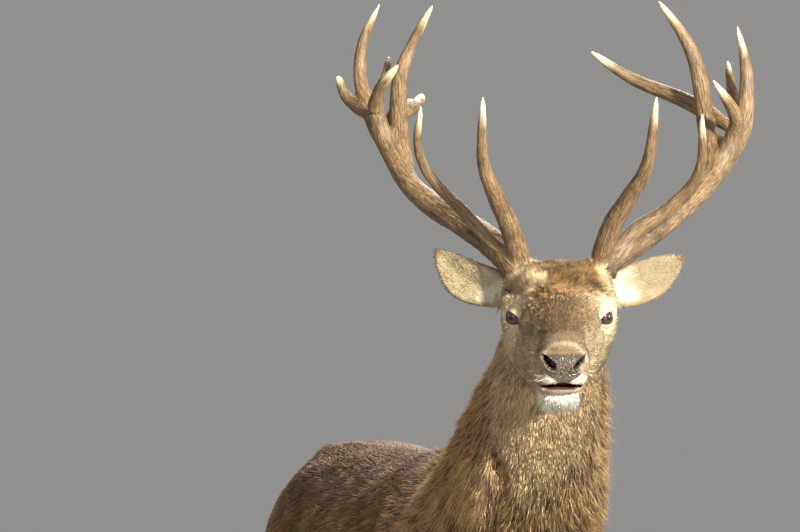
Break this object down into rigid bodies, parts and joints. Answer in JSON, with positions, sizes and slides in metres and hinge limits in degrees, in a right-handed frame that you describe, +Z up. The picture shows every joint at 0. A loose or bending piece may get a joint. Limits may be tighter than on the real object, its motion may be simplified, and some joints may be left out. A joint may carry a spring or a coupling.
{
  "type": "red deer stag",
  "caption": "Life-size standing red deer stag with branched antlers, cupped ears, a shaggy neck and cloven hoofs, its head turned to its right.",
  "frame": {"origin": "the middle of the bounding box in plan, at the level of the soles", "axes": "+Z up, -Y the way the body faces, +X towards the stag's left side"},
  "size_m": [0.7442, 1.8348, 2.0294],
  "materials": {
    "coat": "hide under a dense brown hair coat, matte",
    "antler": "hard antler, brown with pale polished tips",
    "hoof": "dark horn, satin",
    "eye": "dark brown, wet gloss"
  },
  "bodies": {
    "root": {"antler_left_back_tine": "antler", "antler_left_beam": "antler", "antler_left_bez_tine": "antler", "antler_left_brow_tine": "antler", "antler_left_cross_tine": "antler", "antler_left_crown": "antler", "antler_left_front_tine": "antler", "antler_left_inner_tine": "antler", "antler_right_back_tine": "antler", "antler_right_beam": "antler", "antler_right_bez_tine": "antler", "antler_right_brow_tine": "antler", "antler_right_cross_tine": "antler", "antler_right_crown": "antler", "antler_right_front_tine": "antler", "antler_right_inner_tine": "antler", "antler_right_outer_tine": "antler", "ear_left": "coat", "ear_right": "coat", "eye_left": "eye", "eye_right": "eye", "foreleg_left_cannon": "coat", "foreleg_left_claw_inner": "hoof", "foreleg_left_claw_outer": "hoof", "foreleg_left_dewclaw_inner": "hoof", "foreleg_left_dewclaw_outer": "hoof", "foreleg_left_forearm": "coat", "foreleg_left_pastern": "coat", "foreleg_right_cannon": "coat", "foreleg_right_claw_inner": "hoof", "foreleg_right_claw_outer": "hoof", "foreleg_right_dewclaw_inner": "hoof", "foreleg_right_dewclaw_outer": "hoof", "foreleg_right_forearm": "coat", "foreleg_right_pastern": "coat", "head": "coat", "hindleg_left_cannon": "coat", "hindleg_left_claw_inner": "hoof", "hindleg_left_claw_outer": "hoof", "hindleg_left_dewclaw_inner": "hoof", "hindleg_left_dewclaw_outer": "hoof", "hindleg_left_gaskin": "coat", "hindleg_left_pastern": "coat", "hindleg_right_cannon": "coat", "hindleg_right_claw_inner": "hoof", "hindleg_right_claw_outer": "hoof", "hindleg_right_dewclaw_inner": "hoof", "hindleg_right_dewclaw_outer": "hoof", "hindleg_right_gaskin": "coat", "hindleg_right_pastern": "coat", "lower_jaw": "coat", "neck": "coat", "tail": "coat", "trunk": "coat"}
  },
  "joints": []
}
